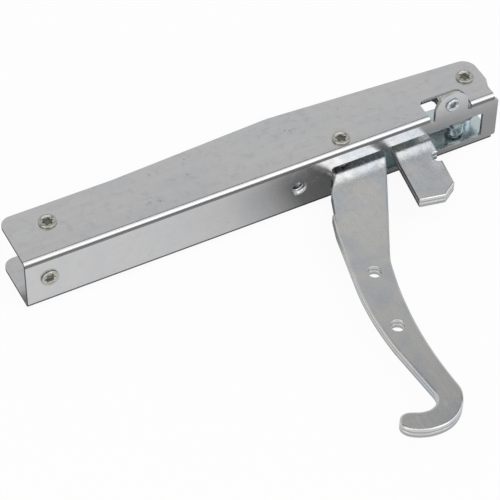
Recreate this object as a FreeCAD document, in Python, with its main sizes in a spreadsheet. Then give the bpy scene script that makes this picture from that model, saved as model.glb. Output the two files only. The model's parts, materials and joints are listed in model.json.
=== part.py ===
# Oven door hinge: a folded steel channel that sits in the oven front, and a laminated hook lever
# that swings out of it with the door and is pulled shut by a spring inside the channel.
# Millimetres. X runs along the channel towards the pivot end, Y from the outside of the web into
# the channel, Z across the channel. The origin is the threaded fixing hole in the web.
import FreeCAD, Part
import Sketcher
import math
import os

Vector = FreeCAD.Vector
os.makedirs("parts", exist_ok=True)
doc = FreeCAD.newDocument("OvenDoorHinge")

# Driving sizes. X is counted from the channel's rear end, or from the pivot where the name says so.
sizes = [
    ("sheetThickness", 1.3, "channel sheet"),
    ("bendRadius", 2.1, "outside radius of the channel's two folds"),
    ("channelLength", 200.0, "overall length of the channel"),
    ("channelHeight", 23.7, "outside of one cheek to the outside of the other"),
    ("cheekDepth", 25.1, "web face to cheek edge over the spring"),
    ("crestDepth", 28.3, "web face to cheek edge at its highest point"),
    ("noseDepth", 22.8, "web face to cheek edge at the pivot end"),
    ("crestStart", 46.0, "where the cheek edge begins to rise"),
    ("crestPlace", 113.0, "where the cheek edge is highest"),
    ("stepBack", 1.6, "how far the cheek draws back next to the fold at the pivot end"),
    ("openingLength", 67.0, "lever opening in the web, along the channel"),
    ("openingEnd", 6.5, "web left between the opening and the pivot end"),
    ("openingLow", 4.3, "lower edge of the opening"),
    ("openingTall", 12.0, "height of the opening"),
    ("tongueWidth", 14.5, "upright tongue"),
    ("tongueTop", 32.8, "tip of the tongue above the lower cheek"),
    ("tongueFromPivot", 14.1, "tongue centre line, back from the pivot"),
    ("tongueRelief", 2.0, "relief slit beside the tongue"),
    ("windowDepth", 10.3, "cut-out that the tongue leaves in the cheek"),
    ("webHoleFromOpening", 13.9, "threaded fixing hole in the web, back from the lever opening"),
    ("webHoleZ", 11.8, "threaded fixing hole above the lower cheek"),
    ("webHoleRadius", 2.45, "bore of the fixing hole"),
    ("webCollarRadius", 3.5, "drawn collar round the fixing hole"),
    ("webCollarLength", 1.6, "how far the collar stands into the channel"),
    ("pivotFromEnd", 7.2, "pivot to the channel's end"),
    ("pivotY", 14.2, "pivot above the web face"),
    ("stopFromPivot", 59.5, "closing stop, back from the pivot"),
    ("stopY", 5.9, "closing stop above the web face"),
    ("rearRivetX", 16.1, "rear rivet, which holds the carrier's foot"),
    ("rearRivetY", 16.1, "the same rivet above the web face"),
    ("webRivetX", 9.3, "rivet in the web that holds the spring carrier"),
    ("webRivetZ", 12.8, "the same rivet above the lower cheek"),
    ("tongueRivetZ", 27.4, "rivet in the tongue above the lower cheek"),
    ("headRadius", 3.5, "rivet heads on the channel"),
    ("headHeight", 1.0, "rivet heads stand this proud"),
    ("shankRadius", 2.5, "rivet shanks"),
    ("pivotRadius", 3.0, "pivot rivet's shank between the cheeks"),
    ("tongueHeadRadius", 2.95, "head of the rivet in the tongue"),
    ("tongueHeadHeight", 1.2, "the same head's height"),
    ("tongueShankRadius", 1.6, "shank of the rivet in the tongue"),
    ("tongueWasherThickness", 0.9, "washer behind the tongue"),
    ("seatClearance", 0.05, "between pieces that are riveted together"),
    ("runningClearance", 0.06, "round a pin that something turns on"),
    ("sideClearance", 0.1, "beside a piece that turns"),
    ("stopClearance", 0.3, "lever to the closing stop when the door is shut"),
    ("leverLow", 9.6, "underside of the lever above the lower cheek"),
    ("plateThickness", 2.2, "each of the lever's two plates"),
    ("eyeRadius", 6.7, "lever eye round the pivot"),
    ("bushRadius", 4.1, "lever bush and pivot spacers, outside"),
    ("sleeveRadius", 3.5, "sleeves on the stop rivet and the anchor rivet, outside"),
    ("armHoleRadius", 2.6, "holes in the lever's arm"),
    ("edgeBreak", 0.3, "broken edge on the upper lever plate"),
    ("linkPinDistance", 8.5, "link pin from the pivot"),
    ("linkPinAngle", 221.0, "direction from the pivot to the link pin, degrees"),
    ("linkPinRadius", 2.2, "link pin"),
    ("linkThickness", 2.0, "pull link"),
    ("linkEyeRadius", 4.0, "pull link's eye"),
    ("washerThickness", 0.4, "washer between lever and link"),
    ("collarRadius", 3.8, "collar under the link"),
    ("clipThickness", 0.7, "retaining clip on the link pin"),
    ("springY", 16.0, "spring centre line above the web face"),
    ("springZ", 11.85, "spring centre line above the lower cheek"),
    ("springRadius", 6.9, "spring, to the middle of its wire"),
    ("wireRadius", 0.95, "spring wire"),
    ("springPitch", 6.0, "from coil to coil with the door shut"),
    ("endPlateX", 36.5, "slotted plate at the spring's rear end with the door shut"),
    ("carrierThickness", 1.5, "spring carrier, a folded strip along the web"),
    ("carrierStart", 3.0, "rear edge of the carrier"),
    ("carrierFromOpening", 7.0, "front face of the carrier's upright spring seat, back from the opening"),
    ("carrierTop", 19.9, "upper edge of the carrier above the lower cheek"),
    ("footLength", 22.0, "carrier's foot under the anchor rivet"),
    ("seatDepth", 24.2, "web face to the far edge of the spring seat"),
    ("strapWidth", 6.4, "pull link behind the crank"),
    ("tailWidth", 5.0, "pull link inside the spring"),
    ("endPlateRadius", 7.9, "the same plate's radius"),
    ("endPlateThickness", 1.5, "the same plate's thickness"),
    ("crossPinRadius", 1.3, "cross pin that holds the end plate on the link"),
    ("crossPinLength", 12.0, "the same pin's length"),
    ("tailEnd", 3.2, "link beyond the cross pin"),
]
sheet = doc.addObject("Spreadsheet::Sheet", "Sizes")
for row, (alias, number, note) in enumerate(sizes, start=1):
    sheet.set(f"A{row}", note)
    sheet.set(f"B{row}", str(number))
    sheet.setAlias(f"B{row}", alias)
doc.recompute()


def size(alias):
    return float(sheet.get(alias))


# Places that several pieces share, as expressions for Placements and as numbers for outlines
openingX = "(Sizes.channelLength - Sizes.openingEnd - Sizes.openingLength)"
webHoleX = f"({openingX} - Sizes.webHoleFromOpening)"
carrierEndX = f"({openingX} - Sizes.carrierFromOpening)"
pivotX = "(Sizes.channelLength - Sizes.pivotFromEnd)"
stopX = f"({pivotX} - Sizes.stopFromPivot)"
tongueX = f"({pivotX} - Sizes.tongueFromPivot)"
leverTop = "(Sizes.leverLow + 2 * Sizes.plateThickness)"
linkTop = "(Sizes.leverLow - Sizes.washerThickness - 2 * Sizes.seatClearance)"
linkLow = f"({linkTop} - Sizes.linkThickness)"
linkPinX = f"({pivotX} + Sizes.linkPinDistance * cos(Sizes.linkPinAngle * 1 deg))"
linkPinY = "(Sizes.pivotY + Sizes.linkPinDistance * sin(Sizes.linkPinAngle * 1 deg))"

pinAngle = math.radians(size("linkPinAngle"))
pinDX = size("linkPinDistance") * math.cos(pinAngle)
pinDY = size("linkPinDistance") * math.sin(pinAngle)
opening = size("channelLength") - size("openingEnd") - size("openingLength")
webHole = opening - size("webHoleFromOpening")
carrierEnd = opening - size("carrierFromOpening")
springLength = carrierEnd - size("carrierThickness") - size("endPlateX") - size("endPlateThickness")


# Outlines: corners are (x, y, radius), joined by straight lines and rounded by arcs
def roundedOutline(corners):
    pieces = []
    ends = []
    for index, (x, y, radius) in enumerate(corners):
        here = Vector(x, y, 0)
        back = Vector(corners[index - 1][0], corners[index - 1][1], 0) - here
        ahead = Vector(corners[(index + 1) % len(corners)][0], corners[(index + 1) % len(corners)][1], 0) - here
        back.normalize()
        ahead.normalize()
        half = back.getAngle(ahead) / 2
        if radius == 0:
            ends.append((here, None, here))
            continue
        inward = (back + ahead).normalize()
        centre = here + inward * (radius / math.sin(half))
        run = radius / math.tan(half)
        ends.append((here + back * run, centre - inward * radius, here + ahead * run))
    for index, (start, middle, end) in enumerate(ends):
        if middle is not None:
            pieces.append(Part.ArcOfCircle(start, middle, end))
        following = ends[(index + 1) % len(ends)][0]
        if end.distanceToPoint(following) > 1e-6:
            pieces.append(Part.LineSegment(end, following))
    return pieces


def circle(x, y, radius):
    return [Part.Circle(Vector(x, y, 0), Vector(0, 0, 1), radius)]


# Sketches and features of one body
def newBody(label, x="0", y="0", z="0", tilt=0):
    body = doc.addObject("PartDesign::Body", label)
    body.Label = label
    body.Placement = FreeCAD.Placement(Vector(), FreeCAD.Rotation(Vector(1, 0, 0), tilt))
    body.setExpression("Placement.Base.x", f"{x} - {webHoleX}")
    body.setExpression("Placement.Base.y", y)
    body.setExpression("Placement.Base.z", f"{z} - Sizes.webHoleZ")
    return body


def newSketch(body, role, pieces, lift="0"):
    drawing = body.newObject("Sketcher::SketchObject", "Outline")
    plane = [part for part in body.Origin.OriginFeatures if part.Role == role][0]
    drawing.AttachmentSupport = [(plane, "")]
    drawing.MapMode = "FlatFace"
    drawing.setExpression("AttachmentOffset.Base.z", lift)
    drawing.addGeometry(pieces, False)
    return drawing


def bindCircle(drawing, geometry, expression):
    number = drawing.addConstraint(Sketcher.Constraint("Radius", geometry, drawing.Geometry[geometry].Radius))
    drawing.setExpression(f"Constraints[{number}]", expression)


def pad(body, drawing, length, backwards=False):
    feature = body.newObject("PartDesign::Pad", "Pad")
    feature.Profile = drawing
    feature.setExpression("Length", length)
    feature.Reversed = backwards
    drawing.Visibility = False
    doc.recompute()
    return feature


def pocket(body, drawing, length, backwards=False):
    before = body.Shape.Volume
    feature = body.newObject("PartDesign::Pocket", "Pocket")
    feature.Profile = drawing
    feature.setExpression("Length", length)
    feature.Reversed = backwards
    drawing.Visibility = False
    doc.recompute()
    if not body.Shape.Volume < before - 1e-3:
        raise RuntimeError(f"a pocket in {body.Label} cuts nothing")
    return feature


def breakEdges(body, base, amount, wanted):
    names = [f"Edge{n}" for n, edge in enumerate(base.Shape.Edges, start=1) if wanted(edge)]
    feature = body.newObject("PartDesign::Chamfer", "Chamfer")
    feature.Base = (base, names)
    feature.setExpression("Size", amount)
    doc.recompute()
    return feature


def atHeight(level):
    return lambda edge: all(abs(vertex.Z - level) < 1e-4 for vertex in edge.Vertexes)


# A plain ring, standing on its own placement
def ring(label, x, y, z, outer, inner, length, tilt=0):
    body = newBody(label, x, y, z, tilt)
    drawing = newSketch(body, "XY_Plane", circle(0, 0, 2) + circle(0, 0, 1))
    bindCircle(drawing, 0, outer)
    bindCircle(drawing, 1, inner)
    pad(body, drawing, length)
    return body


# A rivet: upset head with a raised rim round its recess, shank, and a low domed head behind.
# Its placement is the seat of the upset head, and the shank runs down from there.
def rivet(label, x, y, z, grip, head, height, shank, tilt=0):
    body = newBody(label, x, y, z, tilt)
    floor = 0.35 * height
    rimIn = 0.62 * head
    back = 0.92 * head
    profile = [
        (0, floor, 0), (0.5 * head, floor, 0), (rimIn, height, 0), (0.84 * head, height, 0),
        (head, 0.4 * height, 0), (0.98 * head, 0, 0), (shank, 0, 0), (shank, -grip, 0), (back, -grip, 0),
        (0.97 * back, -grip - 0.5 * height, 0), (0.75 * back, -grip - 0.9 * height, 0),
        (0, -grip - 0.9 * height, 0),
    ]
    drawing = newSketch(body, "XZ_Plane", roundedOutline(profile))
    turned = body.newObject("PartDesign::Revolution", "Turned")
    turned.Profile = drawing
    turned.ReferenceAxis = (drawing, ["V_Axis"])
    turned.Angle = 360
    drawing.Visibility = False
    doc.recompute()
    return body


# Channel: one sheet folded to a U, trimmed to the cheeks' outline, pierced, with its upright tongue
def channel():
    t = size("sheetThickness")
    r = size("bendRadius")
    height = size("channelHeight")
    length = size("channelLength")
    deep = size("crestDepth") + 1
    body = newBody("channel_body")
    section = [
        (deep, 0, 0), (0, 0, r), (0, height, r), (deep, height, 0),
        (deep, height - t, 0), (t, height - t, r - t), (t, t, r - t), (deep, t, 0),
    ]
    pad(body, newSketch(body, "YZ_Plane", roundedOutline(section)), "Sizes.channelLength")

    # both cheeks are trimmed together, down to the end of the fold
    cheek = size("cheekDepth")
    step = size("stepBack")
    around = [(-9, -9, 0), (-9, deep + 9, 0), (length + 9, deep + 9, 0), (length + 9, -9, 0)]
    outline = [
        (0, -5, 0), (0, cheek, 4.5), (size("crestStart"), cheek, 60),
        (size("crestPlace"), size("crestDepth"), 40), (length, size("noseDepth"), 5.5),
        (length, 9.8, 2), (length - step, 5.8, 2), (length - step, -5, 0),
    ]
    trim = newSketch(body, "XY_Plane", roundedOutline(around) + roundedOutline(outline), "Sizes.channelHeight + 1")
    pocket(body, trim, "Sizes.channelHeight + 2")

    # the web itself runs on to the full length between the folds
    web = [(length - step - 1, r + 0.4, 0), (length - step - 1, height - r - 0.4, 0),
           (length, height - r - 0.4, 0.8), (length, r + 0.4, 0.8)]
    pad(body, newSketch(body, "XZ_Plane", roundedOutline(web)), "Sizes.sheetThickness", True)

    # opening for the lever
    end = length - size("openingEnd")
    low = size("openingLow")
    top = low + size("openingTall")
    slot = [(opening, low, 1), (opening, top, 1), (end, top, 1), (end, low, 1)]
    pocket(body, newSketch(body, "XZ_Plane", roundedOutline(slot)), "Sizes.sheetThickness + 0.5")

    # window in the upper cheek, and the tongue standing up in the plane of the web
    middle = length - size("pivotFromEnd") - size("tongueFromPivot")
    half = size("tongueWidth") / 2
    relief = size("tongueRelief")
    depth = size("windowDepth")
    window = [(middle - half - relief, -1, 0), (middle - half - relief, depth, 3),
              (middle + half + relief, depth, 3), (middle + half + relief, -1, 0)]
    pocket(body, newSketch(body, "XY_Plane", roundedOutline(window), "Sizes.channelHeight + 1"),
           "Sizes.bendRadius + 1.4")
    tip = size("tongueTop")
    tongue = [(middle - half, height - r - 1, 0), (middle - half, tip, half - 0.2),
              (middle + half, tip, half - 0.2), (middle + half, height - r - 1, 0)]
    pad(body, newSketch(body, "XZ_Plane", roundedOutline(tongue)), "Sizes.sheetThickness", True)

    # drawn collar of the fixing hole, then the round holes
    hx = webHole
    hz = size("webHoleZ")
    collar = newSketch(body, "XZ_Plane", circle(hx, hz, size("webCollarRadius")), "-Sizes.sheetThickness")
    bindCircle(collar, 0, "Sizes.webCollarRadius")
    pad(body, collar, "Sizes.webCollarLength", True)
    bore = newSketch(body, "XZ_Plane", circle(hx, hz, size("webHoleRadius")))
    bindCircle(bore, 0, "Sizes.webHoleRadius")
    pocket(body, bore, "Sizes.sheetThickness + Sizes.webCollarLength + 1")
    seat = size("seatClearance")
    webRivet = newSketch(body, "XZ_Plane", circle(size("webRivetX"), size("webRivetZ"), size("shankRadius") + seat))
    bindCircle(webRivet, 0, "Sizes.shankRadius + Sizes.seatClearance")
    pocket(body, webRivet, "Sizes.sheetThickness + 1")
    tongueRivet = newSketch(
        body, "XZ_Plane", circle(middle, size("tongueRivetZ"), size("tongueShankRadius") + seat))
    bindCircle(tongueRivet, 0, "Sizes.tongueShankRadius + Sizes.seatClearance")
    pocket(body, tongueRivet, "Sizes.sheetThickness + 1")
    px = length - size("pivotFromEnd")
    holes = [(size("rearRivetX"), size("rearRivetY"), "shankRadius"),
             (px - size("stopFromPivot"), size("stopY"), "shankRadius"),
             (px, size("pivotY"), "pivotRadius")]
    for x, y, shank in holes:
        hole = newSketch(body, "XY_Plane", circle(x, y, size(shank) + seat), "Sizes.channelHeight + 1")
        bindCircle(hole, 0, f"Sizes.{shank} + Sizes.seatClearance")
        pocket(body, hole, "Sizes.channelHeight + 2")
    return body


# Lever: two stamped plates with one outline, drawn from the pivot. From the eye a limb runs back
# inside the channel to the closing stop; the hooked arm and the latch toe leave through the web.
def leverPlate(label, z, outer=False):
    body = newBody(label, pivotX, "Sizes.pivotY", z)
    eye = size("eyeRadius")
    pad2 = size("bushRadius")
    stopDX = -size("stopFromPivot")
    stopDY = size("stopY") - size("pivotY")
    seat = size("sleeveRadius") + size("stopClearance")
    web = -size("pivotY")
    corners = [
        # latch toe with its notch
        (-43.5, web - 27.6, 0.8), (-33.3, web - 29.7, 1.2), (-27.1, web - 25.6, 1.2), (-25.1, web - 12.9, 0.5),
        (-27.9, web - 12.6, 2), (-27.3, web - 7.9, 2), (-24.3, web - 8.2, 0.5),
        # gullet that takes the end of the web when the door is open
        (-19.4, 6.4, 6), (-9.4, 6.4, 1.5),
        # pad for the link pin, and the eye
        (pinDX - pad2, pinDY - pad2, pad2 - 0.1), (-2.2, pinDY - pad2, 2),
        (eye, -5.8, eye - 0.7), (eye, 6.4, eye - 0.7),
        # back of the limb, and the seat on the closing stop
        (-7.3, 12.2, 8), (-21.8, 12.6, 12), (-42.8, 6, 20), (stopDX + seat, 0.3, 3),
        (stopDX + seat, stopDY - seat, seat), (-65.6, stopDY - seat, 1),
        # rear edge of the arm down to the hook
        (-66.3, web - 2.2, 3), (-71.5, web - 9.2, 6), (-75.4, web - 19.4, 0.5), (-76.7, web - 19.7, 0.5),
        (-79.5, web - 28, 20), (-87.8, web - 65.3, 120), (-87.8, web - 85, 80), (-84.7, web - 119.6, 5.8),
        # hook
        (-101.9, web - 113.2, 2.6), (-103.8, web - 119, 2.6), (-94, web - 125.4, 12), (-75.5, web - 125.2, 12.6),
        # front edge of the arm up to the slot beside the toe
        (-77.6, web - 79.1, 160), (-68.3, web - 49, 25), (-42.2, web + 0.6, 4),
        (-40.9, web + 8.6, 1.2), (-38.4, web + 8.6, 1.2),
    ]
    plate = pad(body, newSketch(body, "XY_Plane", roundedOutline(corners)), "Sizes.plateThickness")
    if outer:
        breakEdges(body, plate, "Sizes.edgeBreak", atHeight(size("plateThickness")))
    clear = size("seatClearance")
    holes = [(0, 0, "bushRadius", clear), (pinDX, pinDY, "linkPinRadius", clear),
             (-76.6, web - 51.9, "armHoleRadius", 0), (-81.8, web - 78.3, "armHoleRadius", 0)]
    for x, y, radius, gap in holes:
        hole = newSketch(body, "XY_Plane", circle(x, y, size(radius) + gap), "Sizes.plateThickness + 1")
        bindCircle(hole, 0, f"Sizes.{radius} + {gap}")
        pocket(body, hole, "Sizes.plateThickness + 2")
    return body


# Pull link, drawn from the link pin: it dodges the pivot spacer, cranks over to the spring's line,
# joggles up to its height and runs on as a narrow tail through the seat, the spring and its end plate
def pullLink():
    body = newBody("pull_link", linkPinX, linkPinY, linkLow)
    line = size("springY") - size("pivotY") - pinDY
    eye = size("linkEyeRadius")
    neck = -pinDY - size("bushRadius") - size("stopClearance")
    wide = size("strapWidth") / 2
    slim = size("tailWidth") / 2
    shoulder = carrierEnd + 2 - linkPinPlace
    pinPlace = endPlate - size("crossPinRadius") - size("seatClearance") - linkPinPlace
    tail = pinPlace - size("tailEnd")
    corners = [
        (eye, -eye, eye - 0.05), (eye, eye, eye - 0.05), (-2.6, eye, 2.2), (-3.4, neck, 0.8), (-11.5, neck, 1.2),
        (-12.6, 5.4, 1.5), (-27, 5.4, 6), (-33.5, line + wide, 6), (shoulder, line + wide, 1),
        (shoulder - 1.5, line + slim, 1), (tail, line + slim, 2), (tail, line - slim, 2),
        (shoulder - 1.5, line - slim, 1), (shoulder, line - wide, 1), (-38.5, line - wide, 6),
        (-31, -1.6, 6), (-3.4, -1.6, 0.8), (-2.6, -eye, 1.4),
    ]
    thick = size("linkThickness")
    rise = size("springZ") - linkMiddle
    pad(body, newSketch(body, "XY_Plane", roundedOutline(corners)), f"Sizes.linkThickness + {rise}")
    over = [(eye + 1, thick, 0), (-52, thick, 3), (-60, thick + rise, 3), (-60, thick + rise + 1, 0),
            (eye + 1, thick + rise + 1, 0)]
    under = [(tail - 1, rise, 0), (-60.4, rise, 3), (-52.4, 0, 3), (-52.4, -1, 0),
             (tail - 1, -1, 0)]
    for side in (over, under):
        pocket(body, newSketch(body, "XZ_Plane", roundedOutline(side), "10"), "40")
    for x, y, radius, extra in [(0, 0, "linkPinRadius", "runningClearance"),
                                (pinPlace, line, "crossPinRadius", "seatClearance")]:
        hole = newSketch(body, "XY_Plane", circle(x, y, size(radius)), f"Sizes.linkThickness + {rise + 1}")
        bindCircle(hole, 0, f"Sizes.{radius} + Sizes.{extra}")
        pocket(body, hole, f"Sizes.linkThickness + {rise + 2}")
    return body


# Spring carrier: a strip along the web, held at the rear by the web rivet and by its foot under the
# anchor rivet, and turned up at the front as the spring's fixed seat
def springCarrier():
    gauge = size("carrierThickness")
    gap = size("seatClearance")
    low = size("sheetThickness") + gap
    top = size("carrierTop")
    start = size("carrierStart")
    length = carrierEnd - start
    deep = size("seatDepth")
    foot = size("footLength")
    body = newBody("spring_carrier", "Sizes.carrierStart")
    section = [(low, low, 1.9), (low, top, 0), (low + gauge, top, 0), (low + gauge, low + gauge, 0.4),
               (deep, low + gauge, 0), (deep, low, 0)]
    pad(body, newSketch(body, "YZ_Plane", roundedOutline(section)), f"{carrierEndX} - Sizes.carrierStart")
    # behind the foot only the strip is left, clear of the cheek
    away = [(foot, -1, 0), (foot, deep + 1, 0), (length + 1, deep + 1, 0), (length + 1, -1, 0)]
    pocket(body, newSketch(body, "XY_Plane", roundedOutline(away), f"{low + 2.6}"), "Sizes.carrierTop")
    corner = [(foot - 6, deep + 1, 0), (foot - 6, deep, 0), (foot, deep - 6, 0), (foot + 1, deep + 1, 0)]
    pocket(body, newSketch(body, "XY_Plane", roundedOutline(corner), f"{low + gauge + 1}"), "Sizes.carrierTop")
    seat = [(length - gauge, low, 0), (length - gauge, deep, 0), (length, deep, 0), (length, low, 1.9)]
    upright = newSketch(body, "XY_Plane", roundedOutline(seat), f"{low + 2.6}")
    pad(body, upright, f"Sizes.carrierTop - {low + 2.6}")
    # slot for the link, clearances round the fixing hole's collar, rivet holes
    y = size("springY")
    z = size("springZ")
    halfHigh = size("linkThickness") / 2 + 0.4
    halfWide = size("tailWidth") / 2 + 0.4
    dip = size("linkPinDistance") + pinDY
    slot = [(y - halfWide - dip, z - halfHigh, 0.4), (y + halfWide, z - halfHigh, 0.4),
            (y + halfWide, z + halfHigh, 0.4), (y - halfWide - dip, z + halfHigh, 0.4)]
    pocket(body, newSketch(body, "YZ_Plane", roundedOutline(slot), f"{length + 1}"), f"{gauge + 2}")
    collar = newSketch(body, "XZ_Plane", circle(webHole - start, size("webHoleZ"), 4))
    bindCircle(collar, 0, "Sizes.webCollarRadius + Sizes.stopClearance")
    pocket(body, collar, f"{low + gauge + 0.5}")
    behind = newSketch(body, "XZ_Plane", circle(size("webRivetX") - start, size("webRivetZ"), 2))
    bindCircle(behind, 0, "Sizes.shankRadius + Sizes.seatClearance")
    pocket(body, behind, f"{low + gauge + 0.5}")
    hole = newSketch(body, "XY_Plane", circle(size("rearRivetX") - start, size("rearRivetY"), 2), f"{low + gauge + 1}")
    bindCircle(hole, 0, "Sizes.shankRadius + Sizes.seatClearance")
    pocket(body, hole, f"{gauge + 2}")
    return body


# Closing spring: round wire, pressed between the carrier's seat and the end plate
def closingSpring(label):
    wire = size("wireRadius")
    coiled = springLength - 2 * wire
    turns = round(coiled / size("springPitch"))
    helix = Part.makeHelix(coiled / turns, coiled, size("springRadius"))
    first = helix.Edges[0]
    begin = first.valueAt(first.FirstParameter)
    along = first.tangentAt(first.FirstParameter)
    coil = Part.Wire(helix.Edges).makePipeShell([wireSection(begin, along, wire)], True, True)
    spring = doc.addObject("Part::Feature", label)
    spring.Label = label
    spring.Shape = coil
    spring.Placement = FreeCAD.Placement(
        Vector(endPlate + size("endPlateThickness") + wire - webHole, size("springY"),
               size("springZ") - size("webHoleZ")), FreeCAD.Rotation(Vector(0, 1, 0), 90))
    return spring


def wireSection(begin, along, wire):
    across = Vector(1, 0, 0)
    up = along.cross(across).normalize()
    sides = 6
    points = []
    for side in range(sides + 1):
        turn = 2 * math.pi * side / sides
        points.append(begin + across * (wire * math.cos(turn)) + up * (wire * math.sin(turn)))
    return Part.makePolygon(points)


# End plate: a disc that the spring pushes against, slotted for the link's tail
def springEndPlate():
    body = newBody("spring_end_plate", "Sizes.endPlateX", "Sizes.springY", "Sizes.springZ")
    disc = newSketch(body, "YZ_Plane", circle(0, 0, 5))
    bindCircle(disc, 0, "Sizes.endPlateRadius")
    pad(body, disc, "Sizes.endPlateThickness")
    wide = size("tailWidth") / 2 + size("seatClearance")
    high = size("linkThickness") / 2 + size("seatClearance")
    slot = [(-wide, -high, 0), (wide, -high, 0), (wide, high, 0), (-wide, high, 0)]
    pocket(body, newSketch(body, "YZ_Plane", roundedOutline(slot), "-1"), "Sizes.endPlateThickness + 2", True)
    return body


# A plain pin standing upright
def pin(label, x, y, z, radius, length):
    body = newBody(label, x, y, z)
    drawing = newSketch(body, "XY_Plane", circle(0, 0, 1))
    bindCircle(drawing, 0, radius)
    pad(body, drawing, length)
    return body


# Retaining clip: an open ring with its mouth towards the rear
def clip(label, x, y, z):
    body = newBody(label, x, y, z)
    drawing = newSketch(body, "XY_Plane", circle(0, 0, 3) + circle(0, 0, 2))
    bindCircle(drawing, 0, "Sizes.collarRadius - 0.3")
    bindCircle(drawing, 1, "Sizes.linkPinRadius + Sizes.seatClearance")
    pad(body, drawing, "Sizes.clipThickness")
    mouth = [(-6, -1.3, 0), (0, -1.3, 0), (0, 1.3, 0), (-6, 1.3, 0)]
    pocket(body, newSketch(body, "XY_Plane", roundedOutline(mouth), "2"), "4")
    return body


# Link pin: riveted over on top of the lever, shank down through both plates and the link
def linkPin():
    body = newBody("link_pin", linkPinX, linkPinY, leverTop)
    shank = size("linkPinRadius")
    head = shank + 1
    foot = size("sheetThickness") + 0.7 - size("leverLow") - 2 * size("plateThickness")
    profile = [(0, 0.8, 0), (head - 0.5, 0.8, 0), (head, 0.3, 0), (head, 0, 0), (shank, 0, 0),
               (shank, foot + 0.3, 0), (shank - 0.3, foot, 0), (0, foot, 0)]
    drawing = newSketch(body, "XZ_Plane", roundedOutline(profile))
    turned = body.newObject("PartDesign::Revolution", "Turned")
    turned.Profile = drawing
    turned.ReferenceAxis = (drawing, ["V_Axis"])
    turned.Angle = 360
    drawing.Visibility = False
    doc.recompute()
    return body


top = size("channelHeight")
t = size("sheetThickness")
loose = size("seatClearance")
linkMiddle = size("leverLow") - size("washerThickness") - 2 * loose - size("linkThickness") / 2
linkPinPlace = size("channelLength") - size("pivotFromEnd") + pinDX
endPlate = size("endPlateX")
inside = "(Sizes.sheetThickness + Sizes.seatClearance)"
roof = "(Sizes.channelHeight - Sizes.sheetThickness - Sizes.seatClearance)"
onFoot = f"({inside} + Sizes.carrierThickness + Sizes.seatClearance)"
shankHole = "Sizes.shankRadius + Sizes.seatClearance"
pivotHole = "Sizes.pivotRadius + Sizes.seatClearance"
pinHole = "Sizes.linkPinRadius + Sizes.seatClearance"

subparts = [
    channel(),
    rivet("pivot_rivet", pivotX, "Sizes.pivotY", "Sizes.channelHeight", top,
          size("headRadius"), size("headHeight"), size("pivotRadius")),
    rivet("stop_rivet", stopX, "Sizes.stopY", "Sizes.channelHeight", top,
          size("headRadius"), size("headHeight"), size("shankRadius")),
    rivet("anchor_rivet", "Sizes.rearRivetX", "Sizes.rearRivetY", "Sizes.channelHeight", top,
          size("headRadius"), size("headHeight"), size("shankRadius")),
    rivet("web_rivet", "Sizes.webRivetX", "0", "Sizes.webRivetZ", t + loose + size("carrierThickness"),
          size("headRadius"), size("headHeight"), size("shankRadius"), 90),
    rivet("tongue_rivet", tongueX, "0", "Sizes.tongueRivetZ", t + loose + size("tongueWasherThickness"),
          size("tongueHeadRadius"), size("tongueHeadHeight"), size("tongueShankRadius"), 90),
    ring("tongue_washer", tongueX, "(Sizes.sheetThickness + Sizes.seatClearance + Sizes.tongueWasherThickness)",
         "Sizes.tongueRivetZ", "Sizes.tongueHeadRadius + 0.6",
         "Sizes.tongueShankRadius + Sizes.seatClearance", "Sizes.tongueWasherThickness", 90),
    ring("stop_sleeve", stopX, "Sizes.stopY", inside, "Sizes.sleeveRadius", shankHole, f"({roof} - {inside})"),
    ring("anchor_sleeve", "Sizes.rearRivetX", "Sizes.rearRivetY", onFoot, "Sizes.sleeveRadius", shankHole,
         f"({roof} - {onFoot})"),
    ring("pivot_spacer_lower", pivotX, "Sizes.pivotY", inside, "Sizes.bushRadius", pivotHole,
         f"(Sizes.leverLow - Sizes.sideClearance - {inside})"),
    ring("pivot_spacer_upper", pivotX, "Sizes.pivotY", f"({leverTop} + Sizes.sideClearance)",
         "Sizes.bushRadius", pivotHole, f"({roof} - {leverTop} - Sizes.sideClearance)"),
    springCarrier(),
    closingSpring("closing_spring"),
    leverPlate("lever_plate_lower", "Sizes.leverLow"),
    leverPlate("lever_plate_upper", "(Sizes.leverLow + Sizes.plateThickness)", True),
    ring("lever_bush", pivotX, "Sizes.pivotY", "Sizes.leverLow", "Sizes.bushRadius",
         "Sizes.pivotRadius + Sizes.runningClearance", "2 * Sizes.plateThickness"),
    linkPin(),
    ring("link_washer", linkPinX, linkPinY, f"({linkTop} + Sizes.seatClearance)", "Sizes.linkEyeRadius - 0.3",
         pinHole, "Sizes.washerThickness"),
    ring("link_collar", linkPinX, linkPinY,
         "(Sizes.sheetThickness + 1.2 + Sizes.clipThickness)", "Sizes.collarRadius", pinHole,
         f"({linkLow} - Sizes.seatClearance - Sizes.sheetThickness - 1.2 - Sizes.clipThickness)"),
    clip("link_clip", linkPinX, linkPinY, "(Sizes.sheetThickness + 1.1)"),
    pullLink(),
    springEndPlate(),
    pin("cross_pin", "(Sizes.endPlateX - Sizes.crossPinRadius - Sizes.seatClearance)", "Sizes.springY",
        "(Sizes.springZ - Sizes.crossPinLength / 2)", "Sizes.crossPinRadius", "Sizes.crossPinLength"),
]

doc.recompute()
for item in doc.Objects:
    if "Invalid" in item.State or "Error" in item.State:
        raise RuntimeError(f"{item.Name} failed: {item.State}")
for part in subparts:
    if part.Shape.isNull() or not part.Shape.isValid():
        raise RuntimeError(f"{part.Label} has no valid shape")
for part in subparts:
    part.Shape.exportStep(f"parts/{part.Label}.step")
    print(part.Label, len(part.Shape.Solids), round(part.Shape.Volume), part.Shape.BoundBox)
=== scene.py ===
# Oven door hinge: zinc plated channel and lever plates with rolled edges, upset rivets with lobed
# recesses, the closing spring and the thread of the fixing hole, on a plain white ground
import json
import math

import bmesh
import bpy
import numpy as np
from mathutils import Matrix, Vector

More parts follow.
